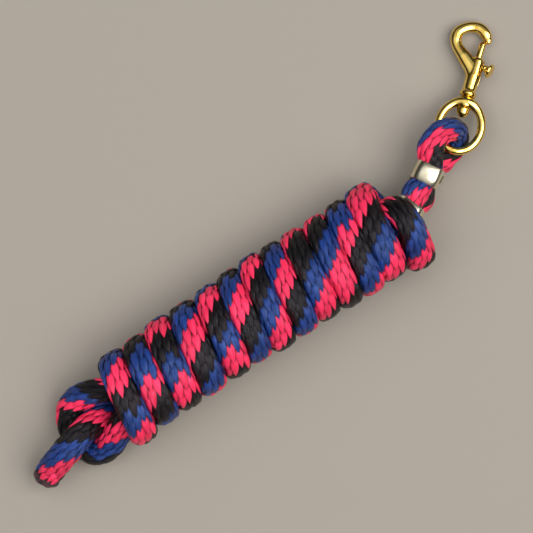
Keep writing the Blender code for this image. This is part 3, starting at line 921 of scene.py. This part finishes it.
def ring_piece(brass):
    """The ring, swollen where the pin's boss goes through its bar."""
    count = 120
    swell_angle = 0.46
    x, y = RING_MIDDLE
    rows = []
    for i in range(count):
        a = 2 * math.pi * i / count
        rows.append((x + RING_HALF_LENGTH * math.cos(a), y + RING_HALF_WIDTH * math.sin(a), 0, a))

    def section(i, row):
        thin = RING_WIRE_RADIUS * (1.0 - 0.08 * (1 - math.cos(row[3])) / 2)
        from_boss = math.atan2(math.sin(row[3]), math.cos(row[3]))
        swell = math.exp(-((from_boss / swell_angle) ** 2))
        return bar_section(thin + 0.0007 * swell, thin + 0.0018 * swell, power=2.15)

    ring = add_object("swivel_ring", swept("swivel_ring", rows, section, closed=True))
    low, high = BOSS_X
    profile = [
        (high, 0.0),
        (high, 0.0030),
        (high - 0.0010, 0.0037),
        (low + 0.0010, 0.0038),
        (low, 0.0030),
        (low, 0.0),
    ]
    boss = add_object("boss", turned("boss", rounded_profile(profile, 0.0009)))
    boolean(ring, boss, "UNION")
    boolean(ring, cylinder("hole", HOLE_RADIUS, -0.012, 0.01), "DIFFERENCE")
    cast(ring, 12)
    ring.matrix_world = SNAP_FRAME
    return finish_piece(ring, brass, "eye", "brass", "swivel_eye")


def snap_piece(brass):
    """Barrel, collar and hook in one casting, with the bolt's bore and the stud's slot."""
    mouth = MOUTH_X + 0.0002
    profile = [
        (mouth, 0.0),
        (mouth, 0.0034),
        (mouth - 0.0012, 0.0040),
        (0.0120, 0.0042),
        (0.0040, 0.0038),
        (0.0031, 0.0040),
        (0.0021, 0.0047),
        (0.0008, 0.0047),
        (0.0001, 0.0040),
        (0.0001, 0.0),
    ]
    body = add_object("snap_casting", turned("snap_casting", rounded_profile(profile, 0.0004)))
    route = smooth_route([(x, y, 0.0, half_width) for x, y, half_width in HOOK_BAR], 0.0006)

    def section(i, row):
        # the last rows draw in, which rounds the hook's end
        ending = min(1.0, 0.75 + 0.25 * math.sqrt((len(route) - 1 - i) / 3))
        half_height = min(max(row[3], HOOK_HALF_HEIGHTS[0]), HOOK_HALF_HEIGHTS[1])
        return bar_section(row[3] * ending, half_height * ending)

    hook = add_object("hook", swept("hook", route, section))
    boolean(body, hook, "UNION")
    boolean(body, cylinder("bore", BORE_RADIUS, -0.001, MOUTH_X + 0.002), "DIFFERENCE")
    bpy.ops.mesh.primitive_cube_add(size=1.0)
    slot = bpy.context.active_object
    size = Matrix.Diagonal((SLOT_X[1] - SLOT_X[0], SLOT_DEPTH, SLOT_WIDTH, 1.0))
    middle = Matrix.Translation((sum(SLOT_X) / 2, SLOT_Y, 0.0))
    slot.matrix_world = Matrix.Rotation(math.radians(-STUD_TURN), 4, "X") @ middle @ size
    boolean(body, slot, "DIFFERENCE")
    cast(body, 5)
    body.matrix_world = SNAP_FRAME
    return finish_piece(body, brass, "snap", "brass", "snap_body")


def turned_piece(name, profile, rounding, place, material, body, slot_name, cad_node):
    made = add_object(name, smooth_mesh(turned(name, rounded_profile(profile, rounding))), place)
    return finish_piece(made, material, body, slot_name, cad_node)


def pin_piece(brass):
    """The pin, plugged into the barrel, with its domed head inside the ring."""
    flange = BOSS_X[0] - GAP
    profile = [
        (PIN_PLUG_TOP, 0.0),
        (PIN_PLUG_TOP, PIN_SHANK_RADIUS),
        (flange, PIN_SHANK_RADIUS),
        (flange, 0.0033),
        (flange - 0.0006, 0.0037),
        (flange - 0.0018, 0.0036),
        (flange - 0.0034, 0.0031),
        (flange - 0.0047, 0.0021),
        (flange - 0.0053, 0.0008),
        (flange - 0.0053, 0.0),
    ]
    return turned_piece("pin", profile, 0.0005, SNAP_FRAME, brass, "snap", "brass", "swivel_pin")


def stud_frame():
    """X along the stud, from the bolt's axis out through the slot."""
    return (
        SNAP_FRAME
        @ Matrix.Rotation(math.radians(-STUD_TURN), 4, "X")
        @ Matrix.Translation((STUD_X, 0.0, 0.0))
        @ Matrix.Rotation(math.radians(-90 - STUD_LEAN), 4, "Z")
    )


def bolt_pieces(brass):
    """The bolt's rod with its blunt nose, and the thumb stud that stands on it."""
    low, high = BOLT_X
    nose = high + 0.0010  # past the CAD part's
    profile = [
        (nose, 0.0),
        (nose, 0.0010),
        (nose - 0.0004, 0.0015),
        (nose - 0.0012, 0.00185),
        (low, 0.00195),
        (low, 0.0),
    ]
    turned_piece("bolt_rod", profile, 0.0003, SNAP_FRAME, brass, "bolt", "brass", "bolt")
    top = KNOB_REACH
    profile = [
        (top + 0.0006, 0.0),
        (top + 0.0006, 0.0022),
        (top + 0.0003, 0.0035),
        (top - 0.0005, 0.0041),
        (top - 0.0013, 0.0039),
        (top - 0.0020, 0.0023),
        (top - 0.0030, 0.0019),
        (top - 0.0038, 0.0023),
        (top - 0.0042, 0.0015),
        (-0.0004, 0.0012),
        (-0.0004, 0.0),
    ]
    turned_piece("stud", profile, 0.0004, stud_frame(), brass, "bolt", "brass", "thumb_stud")


def spring_piece(steel):
    """The coil between the pin's plug and the bolt, which squashes it as it comes back."""
    low = PIN_PLUG_TOP + GAP + SPRING_WIRE_RADIUS
    high = BOLT_X[0] - GAP - SPRING_WIRE_RADIUS
    steps = 24  # a coil
    count = SPRING_COILS * steps
    rows = []
    for i in range(count + 1):
        a = 2 * math.pi * i / steps
        x = low + (high - low) * i / count
        rows.append((x, SPRING_RADIUS * math.cos(a), SPRING_RADIUS * math.sin(a)))
    wire = bar_section(SPRING_WIRE_RADIUS, SPRING_WIRE_RADIUS, 10, 2.0)
    mesh = swept("spring", rows, lambda i, row: wire, up=(1, 0, 0))
    spring = add_object("spring", smooth_mesh(mesh), SNAP_FRAME)
    finish_piece(spring, steel, "snap", "spring_steel", "bolt_spring")
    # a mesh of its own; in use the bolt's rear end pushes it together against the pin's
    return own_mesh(spring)


def strip_mesh(name, path, outward, lip, closed):
    """A strip of metal: the (along, lift) lip section carried round the path."""
    points = []
    for place, away in zip(path, outward):
        for along, lift in lip:
            points.append((along, *(place + away * lift)))
    n, m = len(path), len(lip)
    faces = []
    for i in range(n if closed else n - 1):
        j = (i + 1) % n
        faces += [(i * m + k, i * m + (k + 1) % m, j * m + (k + 1) % m, j * m + k) for k in range(m)]
    if not closed:
        faces += [tuple(range(m)), tuple(range((n - 1) * m, n * m))]
    return smooth_mesh(new_mesh(name, points, faces))


def rounded_rectangle(half_width, half_height, corner, count):
    """That many evenly spaced (across, up) points round a rectangle with arcs at its corners."""
    outline = []
    for quarter, (sx, sy) in enumerate(((1, 1), (-1, 1), (-1, -1), (1, -1))):
        for i in range(9):
            a = math.radians(90 * (quarter + i / 8))
            x = sx * (half_width - corner) + corner * math.cos(a)
            y = sy * (half_height - corner) + corner * math.sin(a)
            outline.append((x, y))
    closed = np.array(outline + outline[:1])
    reach = np.concatenate([[0], np.cumsum(np.linalg.norm(np.diff(closed, axis=0), axis=1))])
    wanted = np.linspace(0, reach[-1], count, endpoint=False)
    return np.stack([np.interp(wanted, reach, closed[:, i]) for i in range(2)], 1)


def crimp_piece(name, crimp, length, plated, cad_node):
    """A strip of plated brass closed round both strands, its outer end lapped down one side."""
    path = rounded_rectangle(CRIMP_HALF_WIDTH, CRIMP_HALF_HEIGHT, CRIMP_CORNER, 128)
    # the long sides and the top are a little crowned
    path[:, 1] -= 0.0009 * (path[:, 0] / CRIMP_HALF_WIDTH) ** 2 * np.sign(path[:, 1])
    path[:, 0] -= 0.0003 * (path[:, 1] / CRIMP_HALF_HEIGHT) ** 2 * np.sign(path[:, 0])
    forward = unit(np.roll(path, -1, 0) - np.roll(path, 1, 0))
    outward = np.stack([forward[:, 1], -forward[:, 0]], 1)
    half, edge = length / 2, 0.00035
    lip = (
        (-half, 0.0),
        (-half, CRIMP_WALL - edge),
        (-half + edge, CRIMP_WALL),
        (half - edge, CRIMP_WALL),
        (half, CRIMP_WALL - edge),
        (half, 0.0),
        (half - edge, -0.0001),
        (-half + edge, -0.0001),
    )
    band = strip_mesh(name, path, outward, lip, True)
    # the outer end stands proud of the side it is lapped on, less than half as wide as the band
    steps = np.linspace(0.0, 1.0, 20)
    rise = steps * steps * (3 - 2 * steps)
    side = -CRIMP_HALF_WIDTH - CRIMP_WALL + 0.0004
    lap_path = np.stack([side - 0.0014 * rise, 0.0100 - 0.0090 * steps], 1)
    lap_away = np.broadcast_to(np.array((-1.0, 0.0)), lap_path.shape)
    lap_lip = [(along * 0.42 + 0.0006, 0.0007 if lift > 0.0004 else -0.0018) for along, lift in lip[:6]]
    both = bmesh.new()
    both.from_mesh(band)
    both.from_mesh(strip_mesh("lap", lap_path, lap_away, lap_lip, False))
    both.to_mesh(band)
    both.free()
    return finish_piece(add_object(name, band, frame_at(*crimp)), plated, "rope", "plated_brass", cad_node)


# --------------------------------------------------
# Everything
# --------------------------------------------------
rope = Rope()

red = fibre_material("fibre_red", (0.60, 0.003, 0.024), (1.00, 0.052, 0.165), 0.50, (1.0, 0.60, 0.70))
blue = fibre_material("fibre_blue", (0.001, 0.002, 0.018), (0.015, 0.058, 0.300), 0.90, (0.42, 0.56, 1.0))
black = fibre_material(
    "fibre_black", (0.0005, 0.0005, 0.0006), (0.006, 0.006, 0.007), 0.38, (0.96, 0.86, 0.96)
)
inner = painted_shade_inner_material()
melted = melted_material()
brass = metal_material("polished_brass", (0.95, 0.71, 0.20), (0.84, 0.51, 0.085), 0.09, 2600.0)
plated = metal_material("plated_band", (0.84, 0.78, 0.60), (0.72, 0.65, 0.46), 0.21, 2200.0)
steel = metal_material("spring_wire", (0.62, 0.62, 0.60), (0.50, 0.50, 0.50), 0.28, 3000.0)

lower = crimp_piece("lower_band", LOWER_CRIMP, LOWER_CRIMP_LENGTH, plated, "lower_crimp")
upper = crimp_piece("upper_band", UPPER_CRIMP, CRIMP_LENGTH, plated, "upper_crimp")
ring_piece(brass)
snap_piece(brass)
pin_piece(brass)
bolt_pieces(brass)
spring_piece(steel)

braid = add_object("braided_rope", rope_mesh(rope))
for used in (red, black, inner, melted, blue):  # in the order of the slots
    braid.data.materials.append(used)
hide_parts("rope_eye_loop", "rope_first_turn", "rope_hank", "rope_bight", "rope_tail")
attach(braid, "rope")

# --------------------------------------------------
# Floor, light and camera
# --------------------------------------------------
FLOOR_Z = -0.0002  # where the lowest stitches lie on it
bpy.ops.mesh.primitive_plane_add(size=6.0, location=(0, 0, FLOOR_Z))
floor = bpy.context.active_object
floor.name = "floor"
ground, _, ground_shader = new_material("plain_floor")
ground_shader.inputs["Base Color"].default_value = (0.232, 0.207, 0.177, 1.0)
ground_shader.inputs["Roughness"].default_value = 0.9
floor.data.materials.append(ground)

world = bpy.data.worlds.new("room")
bpy.context.scene.world = world
world.use_nodes = True
# a bright ceiling over darker walls
room = world.node_tree
facing = room.nodes.new("ShaderNodeTexCoord")
height = node(room, "ShaderNodeSeparateXYZ", facing.outputs["Generated"])
tone = node(room, "ShaderNodeValToRGB", height.outputs["Z"])
below, overhead = tone.color_ramp.elements
below.position = 0.0
below.color = (0.030, 0.028, 0.026, 1.0)
overhead.position = 0.93
overhead.color = (1.0, 1.0, 1.0, 1.0)
for place, level in ((0.45, 0.05), (0.72, 0.12), (0.88, 0.70)):
    tone.color_ramp.elements.new(place).color = (level, level * 1.01, level * 1.03, 1.0)
room.links.new(tone.outputs["Color"], room.nodes["Background"].inputs["Color"])
room.nodes["Background"].inputs["Strength"].default_value = 0.95
bpy.context.scene.view_settings.view_transform = "Standard"


def area_light(name, place, size, power, colour):
    """A rectangle of light that faces the middle of the object."""
    data = bpy.data.lights.new(name, "AREA")
    data.shape = "RECTANGLE"
    data.size, data.size_y = size
    data.energy = power
    data.color = colour
    made = add_object(name, data)
    made.location = place
    made.rotation_euler = (-Vector(place)).to_track_quat("-Z", "Y").to_euler()
    return made


area_light("key", (1.20, -1.00, 2.50), size=(3.0, 2.4), power=120.0, colour=(1.0, 0.985, 0.96))
fill = area_light("fill", (-0.80, 1.10, 2.50), size=(4.0, 2.6), power=75.0, colour=(0.97, 0.985, 1.0))
fill.visible_glossy = False

PHOTO_TURN = 32.2  # of the hank's axis above level in the picture
camera_data = bpy.data.cameras.new("camera")
camera_data.sensor_width = 36.0
camera_data.lens = 184.5
camera = add_object("camera", camera_data)
camera.location = (-0.0029, -0.0050, 1.52)
camera.rotation_euler = (0.0, 0.0, math.radians(-PHOTO_TURN))
bpy.context.scene.camera = camera
